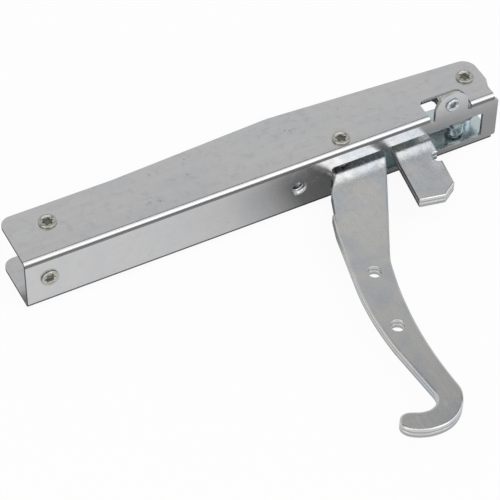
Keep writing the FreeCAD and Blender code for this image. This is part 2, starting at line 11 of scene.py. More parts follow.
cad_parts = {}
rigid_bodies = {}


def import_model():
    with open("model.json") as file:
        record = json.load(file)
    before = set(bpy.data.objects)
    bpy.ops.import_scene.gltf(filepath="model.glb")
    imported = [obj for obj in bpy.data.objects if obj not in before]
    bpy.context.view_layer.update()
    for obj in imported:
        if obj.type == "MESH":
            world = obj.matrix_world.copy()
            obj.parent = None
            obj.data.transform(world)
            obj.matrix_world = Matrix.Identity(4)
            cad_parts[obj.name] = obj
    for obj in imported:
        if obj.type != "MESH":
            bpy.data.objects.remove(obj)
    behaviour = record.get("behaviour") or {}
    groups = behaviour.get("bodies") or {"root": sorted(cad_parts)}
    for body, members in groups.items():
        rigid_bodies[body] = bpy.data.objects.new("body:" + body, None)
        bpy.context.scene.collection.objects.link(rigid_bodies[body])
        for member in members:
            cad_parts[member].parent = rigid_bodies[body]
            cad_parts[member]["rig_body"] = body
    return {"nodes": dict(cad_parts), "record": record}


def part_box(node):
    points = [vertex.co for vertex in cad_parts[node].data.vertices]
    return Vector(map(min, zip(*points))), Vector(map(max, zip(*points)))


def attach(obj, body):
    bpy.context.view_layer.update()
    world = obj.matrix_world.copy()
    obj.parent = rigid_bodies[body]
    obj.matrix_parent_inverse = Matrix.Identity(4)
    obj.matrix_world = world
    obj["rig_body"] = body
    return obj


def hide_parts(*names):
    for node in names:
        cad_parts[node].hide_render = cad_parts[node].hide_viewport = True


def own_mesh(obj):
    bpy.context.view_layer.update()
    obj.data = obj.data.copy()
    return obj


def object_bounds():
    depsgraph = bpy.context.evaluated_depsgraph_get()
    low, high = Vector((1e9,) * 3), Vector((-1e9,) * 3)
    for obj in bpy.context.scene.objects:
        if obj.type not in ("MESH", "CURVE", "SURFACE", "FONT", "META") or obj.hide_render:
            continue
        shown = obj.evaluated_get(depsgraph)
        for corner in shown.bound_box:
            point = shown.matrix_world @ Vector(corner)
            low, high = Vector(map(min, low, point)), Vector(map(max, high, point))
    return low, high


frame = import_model()
nodes = frame["nodes"]
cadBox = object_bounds()
scene = bpy.context.scene
scene.view_settings.view_transform = "Standard"
print("frame loaded:", len(nodes), "nodes")

mm = 0.001


# Rises from 0 to 1 with a soft start and end
def smoothRise(value):
    value = np.clip(value, 0, 1)
    return value ** 2 * (3 - 2 * value)


# The camera stands where the photograph's view of the folds and the arm was worked out to be from
photoCamera = {
    "azimuth": -27.81,     # degrees round from straight in front of the web
    "elevation": 47.36,
    "roll": 0.84,
    "distance": 0.89185,
    "target": (-0.02623, -0.010345, -0.0118),
    "lens": 170.3,
}


def placeCamera(look):
    azimuth, elevation, roll = (math.radians(look[k]) for k in ("azimuth", "elevation", "roll"))
    back = Vector((math.sin(azimuth) * math.cos(elevation), -math.cos(azimuth) * math.cos(elevation),
                   math.sin(elevation)))
    level = (-back).cross(Vector((0, 0, 1))).normalized()
    upright = level.cross(-back)
    right = level * math.cos(roll) + upright * math.sin(roll)
    up = upright * math.cos(roll) - level * math.sin(roll)
    data = bpy.data.cameras.new("photoCamera")
    data.sensor_width = 36
    data.lens = look["lens"]
    data.clip_start, data.clip_end = 0.01, 20
    camera = bpy.data.objects.new("photoCamera", data)
    scene.collection.objects.link(camera)
    turn = Matrix((right, up, back)).transposed().to_4x4()
    camera.matrix_world = Matrix.Translation(Vector(look["target"]) + back * look["distance"]) @ turn
    scene.camera = camera


placeCamera(photoCamera)


# Short cuts for node trees
def addNode(tree, kind, inputs=None, **settings):
    node = tree.nodes.new(kind)
    for key, value in settings.items():
        setattr(node, key, value)
    for key, value in (inputs or {}).items():
        if isinstance(value, bpy.types.NodeSocket):
            tree.links.new(value, node.inputs[key])
        else:
            node.inputs[key].default_value = value
    return node


def newGroup(name, inputs, outputs):
    group = bpy.data.node_groups.new(name, "ShaderNodeTree")
    for label, kind, value in inputs:
        socket = group.interface.new_socket(label, in_out="INPUT", socket_type=kind)
        if value is not None:
            socket.default_value = value
    for label, kind in outputs:
        group.interface.new_socket(label, in_out="OUTPUT", socket_type=kind)
    return group, addNode(group, "NodeGroupInput"), addNode(group, "NodeGroupOutput")


def between(tree, value, low, high, least=0.0, most=1.0):
    node = addNode(tree, "ShaderNodeMapRange", {"Value": value, "From Min": low, "From Max": high,
                                                "To Min": least, "To Max": most},
                   interpolation_type="SMOOTHSTEP")
    return node.outputs["Result"]


def times(tree, first, second):
    return addNode(tree, "ShaderNodeMath", {0: first, 1: second}, operation="MULTIPLY").outputs[0]


def blendColour(tree, amount, first, second):
    node = addNode(tree, "ShaderNodeMix", {0: amount, 6: first, 7: second}, data_type="RGBA")
    return node.outputs[2]


# Clouds of zinc bloom: a plain tint, cool patches in it and fine dull flecks
def makeBloom():
    group, given, made = newGroup(
        "zincBloom",
        [("Vector", "NodeSocketVector", None), ("Scale", "NodeSocketFloat", 40.0),
         ("Plain", "NodeSocketColor", (0.7, 0.7, 0.7, 1)), ("Cool", "NodeSocketColor", (0.6, 0.66, 0.7, 1)),
         ("Dull", "NodeSocketColor", (0.5, 0.5, 0.5, 1)), ("Cool Amount", "NodeSocketFloat", 0.5),
         ("Dull Amount", "NodeSocketFloat", 0.3)],
        [("Color", "NodeSocketColor"), ("Mask", "NodeSocketFloat")])
    place = given.outputs
    cloud = addNode(group, "ShaderNodeTexNoise", {"Vector": place["Vector"], "Scale": place["Scale"],
                                                  "Detail": 3.0, "Roughness": 0.5, "Distortion": 0.6})
    fleckScale = times(group, place["Scale"], 5.5)
    fleck = addNode(group, "ShaderNodeTexNoise", {"Vector": place["Vector"], "Scale": fleckScale,
                                                  "Detail": 6.0, "Roughness": 0.62})
    coolMask = between(group, cloud.outputs["Fac"], 0.46, 0.66)
    dullMask = between(group, fleck.outputs["Fac"], 0.48, 0.74)
    cooled = blendColour(group, times(group, coolMask, place["Cool Amount"]), place["Plain"], place["Cool"])
    dulled = blendColour(group, times(group, dullMask, place["Dull Amount"]), cooled, place["Dull"])
    group.links.new(dulled, made.inputs["Color"])
    group.links.new(dullMask, made.inputs["Mask"])
    return group


# Grain left by rolling or drawing: noise drawn out along one direction
def makeGrain():
    group, given, made = newGroup(
        "rolledGrain",
        [("Vector", "NodeSocketVector", None), ("Stretch", "NodeSocketVector", (40, 900, 900))],
        [("Height", "NodeSocketFloat")])
    drawn = addNode(group, "ShaderNodeVectorMath",
                    {0: given.outputs["Vector"], 1: given.outputs["Stretch"]}, operation="MULTIPLY")
    lines = addNode(group, "ShaderNodeTexNoise", {"Vector": drawn.outputs[0], "Scale": 1.0,
                                                  "Detail": 4.0, "Roughness": 0.6})
    group.links.new(lines.outputs["Fac"], made.inputs["Height"])
    return group


# Scuffs and pits from handling: fine marks that only show inside a few patches, and scattered pits
def makeScuffs():
    group, given, made = newGroup(
        "handlingMarks",
        [("Vector", "NodeSocketVector", None), ("Scale", "NodeSocketFloat", 60.0),
         ("Cover", "NodeSocketFloat", 0.5), ("Spots", "NodeSocketFloat", 0.0)],
        [("Mask", "NodeSocketFloat")])
    place = given.outputs
    patch = addNode(group, "ShaderNodeTexNoise", {"Vector": place["Vector"], "Scale": place["Scale"],
                                                  "Detail": 1.0})
    marks = addNode(group, "ShaderNodeTexNoise", {"Vector": place["Vector"],
                                                  "Scale": times(group, place["Scale"], 9.0),
                                                  "Detail": 5.0, "Roughness": 0.7, "Distortion": 1.2})
    pits = addNode(group, "ShaderNodeTexVoronoi", {"Vector": place["Vector"],
                                                   "Scale": times(group, place["Scale"], 1.6)})
    scratched = between(group, marks.outputs["Fac"], 0.56, 0.66)
    rubbed = times(group, between(group, patch.outputs["Fac"], 0.62, 0.78), scratched)
    pitted = between(group, pits.outputs["Distance"], 0.055, 0.02)
    both = addNode(group, "ShaderNodeMath", {0: rubbed, 1: pitted}, operation="MAXIMUM", use_clamp=True)
    spread = times(group, both.outputs[0], place["Cover"])
    knocked = times(group, place["Spots"], scratched)
    every = addNode(group, "ShaderNodeMath", {0: spread, 1: knocked}, operation="MAXIMUM", use_clamp=True)
    group.links.new(every.outputs[0], made.inputs["Mask"])
    return group


# Cut edges are rougher and darker. The rest is painted light, through masks that come with the mesh:
# painted shade, as a dark band along each fold next to the web that stands for the fold's dark reflection and
# in the recesses of the rivets, and a painted brighter blue-green reflection on the zinc inside the channel,
# near the opening.
cutAndPaintedLook = {"cut": -0.36, "paintedShade": -0.66, "paintedReflectionTint": (1.05, 1.2, 1.22, 1), "tinted from": -0.06, "to": -0.01,
            "rougher": 0.16}


def makeCutEdgesAndPaintedLight(look):
    group, given, made = newGroup(
        "cutEdgesAndPaintedLight",
        [("Vector", "NodeSocketVector", None), ("Color", "NodeSocketColor", (0.7, 0.7, 0.7, 1)),
         ("Roughness", "NodeSocketFloat", 0.3)],
        [("Color", "NodeSocketColor"), ("Roughness", "NodeSocketFloat")])
    cut, paintedShade, inside = (addNode(group, "ShaderNodeAttribute", attribute_name=name).outputs["Fac"]
                        for name in ("cutEdge", "paintedShadeMask", "inside"))
    darker = addNode(group, "ShaderNodeMath", {0: cut, 1: look["cut"], 2: 1.0},
                     operation="MULTIPLY_ADD").outputs[0]
    # Painted shade: faces in the painted shade mask, the fold bands and the rivet recesses, are darkened
    shade = addNode(group, "ShaderNodeMath", {0: paintedShade, 1: look["paintedShade"], 2: darker},
                    operation="MULTIPLY_ADD").outputs[0]
    # Painted reflection: inner faces near the opening are made brighter and blue-green
    along = addNode(group, "ShaderNodeSeparateXYZ", {0: given.outputs["Vector"]}).outputs["X"]
    inside = times(group, inside, between(group, along, look["tinted from"], look["to"]))
    tinted = addNode(group, "ShaderNodeMix", {0: inside, 6: given.outputs["Color"], 7: look["paintedReflectionTint"]},
                     data_type="RGBA", blend_type="MULTIPLY").outputs[2]
    shaded = addNode(group, "ShaderNodeMix", {0: 1.0, 6: tinted, 7: shade},
                     data_type="RGBA", blend_type="MULTIPLY").outputs[2]
    rougher = addNode(group, "ShaderNodeMath", {0: cut, 1: look["rougher"], 2: given.outputs["Roughness"]},
                      operation="MULTIPLY_ADD").outputs[0]
    group.links.new(shaded, made.inputs["Color"])
    group.links.new(rougher, made.inputs["Roughness"])
    return group


bloom, grain, scuffs, cutAndPaintedLight = makeBloom(), makeGrain(), makeScuffs(), makeCutEdgesAndPaintedLight(cutAndPaintedLook)

# Where something knocked against the upper cheek: places and radii in millimetres, and the core of each
# spot as a share of its radius
knocks = {
    "core": 0.3,
    "strength": 0.9,
    "spots": [((-55.5, 10.5, 11.9), 5.5), ((-61.0, 7.5, 11.9), 3.0), ((-40.0, 16.0, 11.9), 1.6),
              ((-36.5, 23.7, 11.9), 3.2), ((-28.3, 25.0, 11.9), 2.2), ((3.9, 19.7, 11.9), 3.0),
              ((9.0, 15.7, 11.9), 2.2)],
}

# One dictionary per finish. Stretch is small along the direction of the grain, and relief is in metres.
finishes = {
    "channel_zinc": {"plain": (0.66, 0.66, 0.665), "cool": (0.60, 0.62, 0.65), "dull": (0.50, 0.50, 0.50),
                     "cool amount": 0.35, "dull amount": 0.16, "bloom": 45, "stretch": (25, 700, 700),
                     "roughness": 0.21, "spread": 0.05, "relief": 0.000003, "marks": 0.3, "mark scale": 38,
                     "knocks": knocks},
    "lever_zinc": {"plain": (0.695, 0.69, 0.68), "cool": (0.57, 0.61, 0.655), "dull": (0.52, 0.51, 0.50),
                   "cool amount": 0.75, "dull amount": 0.18, "bloom": 55, "stretch": (500, 40, 500),
                   "roughness": 0.22, "spread": 0.07, "relief": 0.000004, "marks": 0.3, "mark scale": 70},
    "rivet_steel": {"plain": (0.52, 0.515, 0.47), "cool": (0.40, 0.40, 0.37), "dull": (0.20, 0.19, 0.16),
                    "cool amount": 0.4, "dull amount": 0.3, "bloom": 300, "stretch": (500, 500, 500),
                    "roughness": 0.18, "spread": 0.10, "relief": 0.000004, "marks": 0.6, "mark scale": 260},
    "bright_zinc": {"plain": (0.70, 0.74, 0.77), "cool": (0.56, 0.66, 0.74), "dull": (0.50, 0.54, 0.56),
                    "cool amount": 0.7, "dull amount": 0.3, "bloom": 220, "stretch": (260, 260, 900),
                    "roughness": 0.20, "spread": 0.10, "relief": 0.000003, "marks": 0.3, "mark scale": 160},
    "bracket_zinc": {"plain": (0.64, 0.67, 0.69), "cool": (0.52, 0.60, 0.65), "dull": (0.44, 0.46, 0.46),
                     "cool amount": 0.6, "dull amount": 0.3, "bloom": 90, "stretch": (30, 800, 800),
                     "roughness": 0.32, "spread": 0.14, "relief": 0.000010, "marks": 0.4, "mark scale": 90},
    "spring_steel": {"plain": (0.36, 0.36, 0.37), "cool": (0.30, 0.32, 0.35), "dull": (0.18, 0.16, 0.14),
                     "cool amount": 0.5, "dull amount": 0.5, "bloom": 160, "stretch": (300, 300, 300),
                     "roughness": 0.34, "spread": 0.18, "relief": 0.000010, "marks": 0.5, "mark scale": 140},
}


# Marks are strongest in the core of each spot
def knockedSpots(tree, place, look):
    found = None
    for at, radius in look["spots"]:
        centre = [v * mm for v in at]
        away = addNode(tree, "ShaderNodeVectorMath", {0: place, 1: centre}, operation="DISTANCE")
        near = between(tree, away.outputs["Value"], radius * mm, look["core"] * radius * mm,
                       0.0, look["strength"])
        found = near if found is None else addNode(tree, "ShaderNodeMath", {0: found, 1: near},
                                                   operation="MAXIMUM").outputs[0]
    return found


def makeFinish(name, look):
    material = bpy.data.materials.new(name)
    material.use_nodes = True
    tree = material.node_tree
    shader = tree.nodes["Principled BSDF"]
    shader.inputs["Metallic"].default_value = 1.0
    place = addNode(tree, "ShaderNodeTexCoord").outputs["Object"]
    clouds = addNode(tree, "ShaderNodeGroup", {}, node_tree=bloom)
    lines = addNode(tree, "ShaderNodeGroup", {}, node_tree=grain)
    marks = addNode(tree, "ShaderNodeGroup", {}, node_tree=scuffs)
    made = addNode(tree, "ShaderNodeGroup", {}, node_tree=cutAndPaintedLight)
    for group in (clouds, lines, marks, made):
        tree.links.new(place, group.inputs["Vector"])
    clouds.inputs["Scale"].default_value = look["bloom"]
    clouds.inputs["Plain"].default_value = (*look["plain"], 1)
    clouds.inputs["Cool"].default_value = (*look["cool"], 1)
    clouds.inputs["Dull"].default_value = (*look["dull"], 1)
    clouds.inputs["Cool Amount"].default_value = look["cool amount"]
    clouds.inputs["Dull Amount"].default_value = look["dull amount"]
    lines.inputs["Stretch"].default_value = look["stretch"]
    marks.inputs["Scale"].default_value = look["mark scale"]
    marks.inputs["Cover"].default_value = look["marks"]
    if "knocks" in look:
        tree.links.new(knockedSpots(tree, place, look["knocks"]), marks.inputs["Spots"])
    colour = blendColour(tree, marks.outputs["Mask"], clouds.outputs["Color"],
                         (*(0.45 * v for v in look["dull"]), 1))
    rough = between(tree, lines.outputs["Height"], 0.3, 0.7, look["roughness"],
                    look["roughness"] + look["spread"])
    rougher = addNode(tree, "ShaderNodeMath", {0: clouds.outputs["Mask"], 1: 0.10, 2: rough},
                      operation="MULTIPLY_ADD")
    tree.links.new(colour, made.inputs["Color"])
    tree.links.new(rougher.outputs[0], made.inputs["Roughness"])
    tree.links.new(made.outputs["Color"], shader.inputs["Base Color"])
    tree.links.new(made.outputs["Roughness"], shader.inputs["Roughness"])
    height = addNode(tree, "ShaderNodeMath", {0: marks.outputs["Mask"], 1: -0.8, 2: lines.outputs["Height"]},
                     operation="MULTIPLY_ADD")
    bump = addNode(tree, "ShaderNodeBump", {"Height": height.outputs[0], "Strength": 0.6,
                                            "Distance": look["relief"]})
    tree.links.new(bump.outputs["Normal"], shader.inputs["Normal"])
    return material


materials = {name: makeFinish(name, look) for name, look in finishes.items()}
slotOf = {part["node"]: part["material_slot"] for part in frame["record"]["subparts"]}
for name, node in nodes.items():
    node.data.materials.clear()
    node.data.materials.append(materials[slotOf[name]])
print("finishes made:", ", ".join(materials))


# A piece made here takes the finish and the body of the node that it stands for
def finishPiece(piece, standsFor):
    piece.data.materials.clear()
    piece.data.materials.append(materials[slotOf[standsFor]])
    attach(piece, nodes[standsFor]["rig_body"])


# The loose triangles of a CAD node, joined along their edges
def mergedNode(name):
    work = bmesh.new()
    work.from_mesh(nodes[name].data)
    bmesh.ops.remove_doubles(work, verts=work.verts, dist=0.002 * mm)
    return work


def keepMask(mesh, name, values):
    mask = mesh.attributes.new(name, "FLOAT", "FACE")
    mask.data.foreach_set("value", np.asarray(values, np.float32))


# How wide each edge is rolled over, in millimetres
rolledEdges = {
    "channel_body": 0.22, "pull_link": 0.2, "spring_carrier": 0.2, "stop_sleeve": 0.15, "anchor_sleeve": 0.15,
    "pivot_spacer_lower": 0.15, "pivot_spacer_upper": 0.15, "lever_bush": 0.1, "link_pin": 0.12,
    "link_collar": 0.2, "link_washer": 0.06, "link_clip": 0.08, "tongue_washer": 0.12,
    "spring_end_plate": 0.15, "cross_pin": 0.2,
}
rolling = {"merged within": 0.8, "sharper than": 40, "segments": 3}    # angles in degrees

# The web is drawn inwards round the hole, with a rounded mouth
fixingHole = {"bore": 2.45, "mouth": 1.25}

# Web side is how many degrees of each fold, next to the web, get painted shade: a dark band that stands
# for the fold's dark reflection. Flat, oblique and sideways are parts of a face's normal, and the rest are
# places in millimetres.
channelMarks = {"web side": 36, "flat": 0.7, "oblique": 0.03, "sideways": 0.2, "fold from": 8,
                "cheek edge from": 15, "web up to": 2, "inside above": 5, "upper cheek from": 1}


def drawMouth(work, look):
    rim = [edge for edge in work.edges
           if all(abs(v.co.y) < 1e-6 and abs(math.hypot(v.co.x, v.co.z) - look["bore"] * mm) < 0.02 * mm
                  for v in edge.verts)]
    bmesh.ops.bevel(work, geom=rim, offset=look["mouth"] * mm, offset_type="OFFSET", segments=5, profile=0.5,
                    affect="EDGES")


# Which faces of the channel are cut, which beside a fold's tangent line get painted shade, and which face
# inwards and, near the opening, get a painted brighter reflection
def markChannel(mesh, look):
    count = len(mesh.polygons)
    facing, middle = np.empty(count * 3, np.float32), np.empty(count * 3, np.float32)
    mesh.polygons.foreach_get("normal", facing)
    mesh.polygons.foreach_get("center", middle)
    nx, ny, nz = facing.reshape(-1, 3).T
    _, y, z = middle.reshape(-1, 3).T / mm
    turned = np.degrees(np.arctan2(np.abs(nz), -ny))
    flat, oblique, high = look["flat"], look["oblique"], look["inside above"]
    folded = ((np.abs(nx) < look["sideways"]) & (ny < -oblique) & (np.abs(nz) > oblique)
              & (np.abs(z) > look["fold from"]))
    # Painted shade: the fold's faces next to the web get the dark band that stands for its dark reflection
    keepMask(mesh, "paintedShadeMask", folded & (turned < look["web side"]))
    keepMask(mesh, "cutEdge", (np.abs(nx) > flat) | ((ny > flat) & (y > look["cheek edge from"])))
    # Inner faces that get the painted brighter reflection near the opening
    web = (ny > flat) & (y < look["web up to"]) & (z < 2 * high)
    cheeks = ((nz > flat) & (z < -high)) | ((nz < -flat) & (z > high) & (y > look["upper cheek from"]))
    keepMask(mesh, "inside", web | cheeks)


# Millimetres from the channel's end, from the web, and below zero
carrierFoot = {"back": 8.6, "strip": 3.6, "under": 8.0}


# The carrier's foot stands back from the channel's end: that corner is cut off with a block, and the
# strip along the web stays whole
def trimFoot(piece, look):
    low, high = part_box("spring_carrier")
    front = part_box("channel_body")[0].x + look["back"] * mm
    corners = [(x, y, z) for x in (low.x - mm, front) for y in (look["strip"] * mm, high.y + mm)
               for z in (low.z - mm, -look["under"] * mm)]
    sides = [(0, 1, 3, 2), (4, 6, 7, 5), (0, 4, 5, 1), (2, 3, 7, 6), (0, 2, 6, 4), (1, 5, 7, 3)]
    block = bpy.data.meshes.new("block")
    block.from_pydata(corners, [], sides)
    cutter = bpy.data.objects.new("block", block)
    scene.collection.objects.link(cutter)
    cut = piece.modifiers.new("cut", "BOOLEAN")
    cut.object = cutter
    cut.solver = "EXACT"
    whole = piece.data
    piece.data = bpy.data.meshes.new_from_object(piece.evaluated_get(bpy.context.evaluated_depsgraph_get()))
    piece.modifiers.remove(cut)
    bpy.data.objects.remove(cutter)
    bpy.data.meshes.remove(block)
    bpy.data.meshes.remove(whole)


# A copy of a pressed or turned piece, with its facets merged into whole faces and its edges rolled over
def rollEdges(name, width, look):
    work = mergedNode(name)
    bmesh.ops.dissolve_limit(work, angle_limit=math.radians(look["merged within"]), verts=work.verts,
                             edges=work.edges)
    if name == "channel_body":
        drawMouth(work, fixingHole)
    mesh = bpy.data.meshes.new(name + "_rolled")
    work.to_mesh(mesh)
    work.free()
    mesh.shade_smooth()
    if name == "channel_body":
        markChannel(mesh, channelMarks)
    piece = bpy.data.objects.new(name + "_rolled", mesh)
    scene.collection.objects.link(piece)
    if name == "spring_carrier":
        trimFoot(piece, carrierFoot)
    bevel = piece.modifiers.new("rolled edge", "BEVEL")
    bevel.width = width * mm
    bevel.segments = look["segments"]
    bevel.limit_method = "ANGLE"
    bevel.angle_limit = math.radians(look["sharper than"])
    flats = piece.modifiers.new("flats stay flat", "WEIGHTED_NORMAL")
    flats.mode = "FACE_AREA"
    flats.keep_sharp = False
    finishPiece(piece, name)
    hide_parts(name)


for name, width in rolledEdges.items():
    rollEdges(name, width, rolling)
print("rolled edges:", len(rolledEdges), "pieces")


# The outlines of a flat plate as closed rings of points, with the metal on the left of each: they are
# the edges between its underside and its walls. The outer one comes first.
def plateOutlines(name):
    work = mergedNode(name)
    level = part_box(name)[0].z
    following = {}
    for edge in work.edges:
        flat = [face for face in edge.link_faces if abs(face.normal.z) > 0.99]
        if len(flat) == 1 and all(abs(v.co.z - level) < 1e-6 for v in edge.verts):
            corner = next(loop for loop in flat[0].loops if loop.edge == edge)
            following[corner.link_loop_next.vert] = corner.vert
    rings = []
    while following:
        start, vert = next(iter(following.items()))
        ring = [start]
        while vert is not start:
            ring.append(vert)
            vert = following.pop(vert)
        following.pop(start)
        rings.append(np.array([tuple(v.co.xy) for v in ring]))
    work.free()
    return sorted(rings, key=lambda ring: -np.ptp(ring[:, 1]))


# Corner cutting: each leg of the profile gives way to the points a quarter and three quarters along it
def eased(profile, rounds=2):
    for _ in range(rounds):
        near = 0.75 * profile[:-1] + 0.25 * profile[1:]
        far = 0.25 * profile[:-1] + 0.75 * profile[1:]
        cut = np.stack([near, far], 1).reshape(-1, 2)
        profile = np.concatenate([profile[:1], cut, profile[-1:]])
    return profile


# The hook's rounded tip, in millimetres from the inside of the bend, round the tip, to the outside
hookTip = [(-13.9, -116.4), (-16.2, -115.2), (-18.2, -114.3), (-20.2, -114.2), (-22.0, -115.3),
           (-23.0, -117.2), (-22.9, -119.2), (-21.6, -121.3), (-18.9, -123.2), (-15.2, -124.7),
           (-11.8, -125.2), (-8.6, -125.2), (-5.8, -124.6), (-3.1, -123.4), (-0.5, -121.4),
           (1.8, -118.8), (3.3, -116.0), (4.0, -113.9)]
hookEnds = ((-11.6, -117.0), (4.1, -112.2))


# The stretch of the outline between its points nearest to the two ends gives way to the tip's curve
def roundTip(ring, tip, ends):
    first, last = (int(np.linalg.norm(ring - np.array(end) * mm, axis=1).argmin()) for end in ends)
    ring = np.roll(ring, -first, 0)
    last = (last - first) % len(ring)
    curve = eased(np.concatenate([ring[:1], np.array(tip) * mm, ring[last:last + 1]]))
    return np.concatenate([curve, ring[last + 1:]])


# Blanked plates: the punch rolls one edge over, then burnishes the wall and tears the rest of it.
# Sizes are in millimetres, and torn is how high above the underside the torn part reaches.
leverPlates = {
    "lever_plate_lower": {"foot": 0.34, "torn": 1.6, "drop": 0.34, "roll": 0.34, "hole": 0.3},
    "lever_plate_upper": {"foot": 0.3, "torn": 1.1, "drop": 0.62, "roll": 0.85, "hole": 0.3},
}
plateWall = {"foot steps": 4, "roll steps": 8, "corner": 35, "least mitre": 0.4}    # corner in degrees


# The wall is one profile carried round every outline. A quarter circle leads up from the underside,
# the wall is straight, and a quarter ellipse, as high as drop and as deep as roll, leads over to the top.
def makePlate(name, look, form):
    low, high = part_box(name)
    thick = (high.z - low.z) / mm
    under = np.radians(np.linspace(-90, 0, form["foot steps"]))
    over = np.radians(np.linspace(0, 90, form["roll steps"]))
    points, quads, facing, torn, capEdges, base = [], [], [], [], [], 0
    for place, ring in enumerate(plateOutlines(name)):
        if place == 0:
            ring = roundTip(ring, hookTip, hookEnds)
        roll = look["roll"] if place == 0 else look["hole"]
        drop = look["drop"] if place == 0 else look["hole"]
        depth = np.concatenate([look["foot"] * (1 - np.cos(under)), [0], roll * (1 - np.cos(over))])
        height = np.concatenate([look["foot"] * (1 + np.sin(under)), [look["torn"]],
                                 thick - drop + drop * np.sin(over)])
        outward = np.concatenate([np.cos(under), [1], np.cos(over) / roll])
        upward = np.concatenate([np.sin(under), [0], np.sin(over) / drop])
        size = np.hypot(outward, upward)
        outward, upward = outward / size, upward / size
        count, rows = len(ring), len(depth)
        along = np.roll(ring, -1, 0) - ring
        along /= np.linalg.norm(along, axis=1, keepdims=True)
        left = np.stack([-along[:, 1], along[:, 0]], -1)
        before = np.roll(left, 1, 0)
        meet = 1 + (left * before).sum(1, keepdims=True)
        mitre = (left + before) / np.maximum(meet, form["least mitre"])
        spots = ring[None] + depth[:, None, None] * mm * mitre[None]
        heights = np.broadcast_to((low.z + height * mm)[:, None, None], (rows, count, 1))
        points.append(np.concatenate([spots, heights], -1).reshape(-1, 3))
        row, step = np.meshgrid(np.arange(rows - 1), np.arange(count), indexing="ij")
        beside = (step + 1) % count
        quads.append((base + np.stack([row * count + step, row * count + beside, (row + 1) * count + beside,
                                       (row + 1) * count + step], -1)).reshape(-1, 4))
        smooth = meet > 1 + math.cos(math.radians(form["corner"]))
        mean = (left + before) / np.linalg.norm(left + before, axis=1, keepdims=True)
        atStart, atEnd = np.where(smooth, mean, left), np.where(smooth, mean, before)
        starts, ends = -atStart[step], -atEnd[beside]
        flat = np.stack([starts, ends, ends, starts], 2)
        level = np.stack([row, row, row + 1, row + 1], 2)
        facing.append(np.concatenate([flat * outward[level][..., None], upward[level][..., None]], -1)
                      .reshape(-1, 3))
        torn.append((row == len(under) - 1).reshape(-1))
        spot = np.arange(count)
        for shelf in (0, rows - 1):
            capEdges.append(base + shelf * count + np.stack([spot, (spot + 1) % count], -1))
        base += rows * count
    mesh = bpy.data.meshes.new(name + "_blanked")
    mesh.from_pydata(np.concatenate(points).tolist(), [], np.concatenate(quads).tolist())
    work = bmesh.new()
    work.from_mesh(mesh)
    work.verts.ensure_lookup_table()
    for shelf in (0, 1):
        rim = [work.edges.get((work.verts[a], work.verts[b]))
               for pairs in capEdges[shelf::2] for a, b in pairs]
        bmesh.ops.triangle_fill(work, use_beauty=True, edges=rim)
    bmesh.ops.recalc_face_normals(work, faces=work.faces)
    work.to_mesh(mesh)
    work.free()
    wall = len(np.concatenate(quads))
    mask = np.zeros(len(mesh.polygons))
    mask[:wall] = np.concatenate(torn)
    keepMask(mesh, "cutEdge", mask)
    upwards = np.empty(len(mesh.polygons) * 3, np.float32)
    mesh.polygons.foreach_get("normal", upwards)
    caps = np.repeat(np.sign(upwards.reshape(-1, 3)[wall:, 2:]) * (0, 0, 1.0), 3, 0)
    mesh.shade_smooth()
    mesh.normals_split_custom_set(np.concatenate([*facing, caps]).tolist())
    piece = bpy.data.objects.new(name + "_blanked", mesh)
    scene.collection.objects.link(piece)
    finishPiece(piece, name)
    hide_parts(name)


for name, look in leverPlates.items():
    makePlate(name, look, plateWall)
print("lever plates blanked:", len(leverPlates))


crease = 50    # degrees between faces, above which an edge of a skin stays sharp


# Rings of points, joined to a closed skin with a centre point at each end. rows is (rings, points, 3).
def skin(name, rows):
    rings, around = rows.shape[:2]
    points = np.concatenate([rows.reshape(-1, 3), rows[:1].mean(1), rows[-1:].mean(1)])
    ring, step = np.meshgrid(np.arange(rings - 1), np.arange(around), indexing="ij")
    beside = (step + 1) % around
    quads = np.stack([ring * around + step, ring * around + beside,
                      (ring + 1) * around + beside, (ring + 1) * around + step], -1).reshape(-1, 4)
    spot = np.arange(around)
    following = (spot + 1) % around
    last = (rings - 1) * around
    first = np.stack([np.full(around, rings * around), following, spot], -1)
    end = np.stack([np.full(around, rings * around + 1), last + spot, last + following], -1)
    mesh = bpy.data.meshes.new(name)
    mesh.from_pydata(points.tolist(), [], quads.tolist() + first.tolist() + end.tolist())
    work = bmesh.new()
    work.from_mesh(mesh)
    bmesh.ops.recalc_face_normals(work, faces=work.faces)
    work.to_mesh(mesh)
    work.free()
    mesh.shade_smooth()
    mesh.set_sharp_from_angle(angle=math.radians(crease))
    piece = bpy.data.objects.new(name, mesh)
    scene.collection.objects.link(piece)
    return piece


# Sizes in millimetres, and the turn of the recess in radians
rivetHeads = {
    "pivot_rivet": {"head": 3.5, "height": 1.0, "shank": 3.0, "lobes": 6, "turn": 0.2},
    "stop_rivet": {"head": 3.5, "height": 1.0, "shank": 2.5, "lobes": 5, "turn": 0.5},
    "anchor_rivet": {"head": 3.5, "height": 1.0, "shank": 2.5, "lobes": 6, "turn": 0.9},
    "web_rivet": {"head": 3.5, "height": 1.0, "shank": 2.5, "lobes": 6, "turn": 0.4},
    "tongue_rivet": {"head": 2.95, "height": 1.2, "shank": 1.6, "lobes": 5, "turn": 1.1},
}

# Top, recess, lobe, wall, slope and foot are shares of the head's radius. Both heads together take ends
# times the height from the rivet's length, and the depths are in millimetres. Faces where the recess mask
# passes dark get painted shade.
rivetForm = {"top": 0.80, "recess": 0.44, "lobe": 0.08, "wall": 0.12, "slope": 0.2, "foot": 0.92,
             "ends": 1.9, "recess depth": 0.8, "dish depth": 0.30, "rings": 48, "around": 60, "dark": 0.55}


